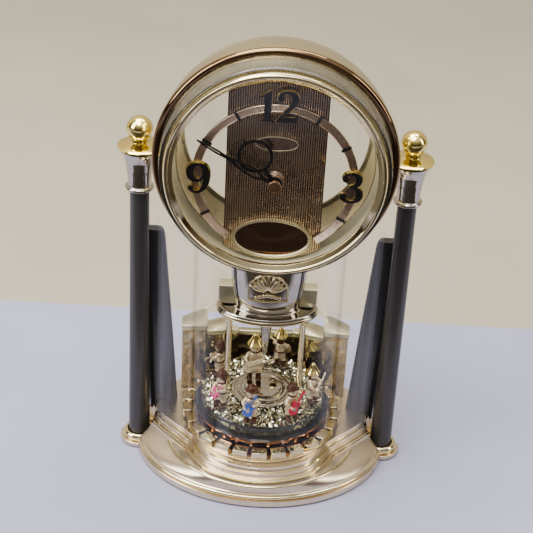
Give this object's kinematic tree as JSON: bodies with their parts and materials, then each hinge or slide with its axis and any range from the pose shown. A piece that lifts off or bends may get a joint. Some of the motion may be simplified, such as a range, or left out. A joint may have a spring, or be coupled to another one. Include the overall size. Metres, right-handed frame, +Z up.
{
  "type": "anniversary clock",
  "caption": "Two-column mantel clock with a round see-through head, ribbed dial panel and a slowly turning turntable of small musicians under a clear cover.",
  "frame": {"origin": "middle of the underside, on the surface the clock stands on", "axes": "+Z up; the dial faces -Y; +X is to the right seen from the front"},
  "size_m": [0.1978, 0.139, 0.3144],
  "materials": {
    "gold_plate": "gold plated, satin on the large faces",
    "bright_gold": "bright gold plating",
    "bronze_plate": "bronze plating, fine ribs",
    "chrome_plate": "mirror plating",
    "smoke": "smoke grey satin",
    "clear": "clear moulded plastic",
    "crystal": "clear with crushed foil",
    "black": "gloss black",
    "dark_plastic": "moulded",
    "felt": "felt",
    "brass": "turned",
    "copper": "polished",
    "pink": "gold plated figure, pink enamel guitar",
    "blue": "gold plated figure, blue enamel guitar",
    "red": "gold plated figure, red enamel guitar"
  },
  "bodies": {
    "frame": {"base_shell": "gold_plate", "base_plate": "dark_plastic", "base_pad": "felt", "block_ring": "bright_gold", "gallery": "bright_gold", "inner_post_left": "smoke", "inner_post_right": "smoke", "front_cover": "clear", "rear_panel": "clear", "head_drum": "gold_plate", "bezel_outer": "bronze_plate", "head_glass": "clear", "bezel_inner": "bright_gold", "front_crystal": "clear", "tunnel_wall": "gold_plate", "rear_glass": "clear", "dial_panel": "bronze_plate", "chapter_ring": "bronze_plate", "numeral_12_one": "black", "numeral_12_two": "black", "numeral_3": "black", "numeral_9": "black", "badge": "bronze_plate", "oval_frame": "gold_plate", "oval_mirror": "chrome_plate", "movement_case": "dark_plastic", "battery": "brass", "canopy": "chrome_plate", "crest": "gold_plate", "pendulum_motor": "dark_plastic", "column_left": "smoke", "foot_ring_left": "gold_plate", "capital_left": "chrome_plate", "finial_left": "bright_gold", "column_right": "smoke", "foot_ring_right": "gold_plate", "capital_right": "chrome_plate", "finial_right": "bright_gold"},
    "pendulum": {"pendulum_hub": "bright_gold", "rod_left": "bright_gold", "rod_right": "bright_gold", "spindle": "chrome_plate", "turntable_tray": "bronze_plate", "crystal_disc": "crystal", "center_stage": "bright_gold", "musician_pink": "pink", "musician_blue": "blue", "musician_red": "red", "musician_gold": "bright_gold", "musician_rear": "bright_gold", "musician_side": "bright_gold", "musician_center": "bright_gold"},
    "minute": {"minute_arbor": "brass", "minute_hand": "black", "post_cap": "copper"},
    "hour": {"hour_wheel": "brass", "hour_hand": "black"},
    "setting": {"intermediate_wheel": "brass", "setting_knob": "dark_plastic"},
    "battery_lid": {"battery_door": "dark_plastic"}
  },
  "joints": [
    {"name": "pendulum_spin", "type": "hinge", "parent": "frame", "child": "pendulum", "pos_m": [0, 0, 0.11], "axis": [0, 0, 1], "continuous": true},
    {"name": "minute_spin", "type": "hinge", "parent": "frame", "child": "minute", "pos_m": [0, -0.045, 0.233], "axis": [0, 1, 0], "continuous": true},
    {"name": "hour_spin", "type": "hinge", "parent": "frame", "child": "hour", "pos_m": [0, -0.045, 0.233], "axis": [0, 1, 0], "continuous": true},
    {"name": "setting_spin", "type": "hinge", "parent": "frame", "child": "setting", "pos_m": [0.012, -0.02, 0.233], "axis": [0, 1, 0], "continuous": true},
    {"name": "battery_door_hinge", "type": "hinge", "parent": "frame", "child": "battery_lid", "pos_m": [0, -0.0158, 0.2072], "axis": [-1, 0, 0], "range_deg": [0, 95]}
  ],
  "couplings": [
    {"joint": "hour_spin", "follows": "minute_spin", "ratio": 0.083333},
    {"joint": "setting_spin", "follows": "minute_spin", "ratio": -0.33333}
  ]
}
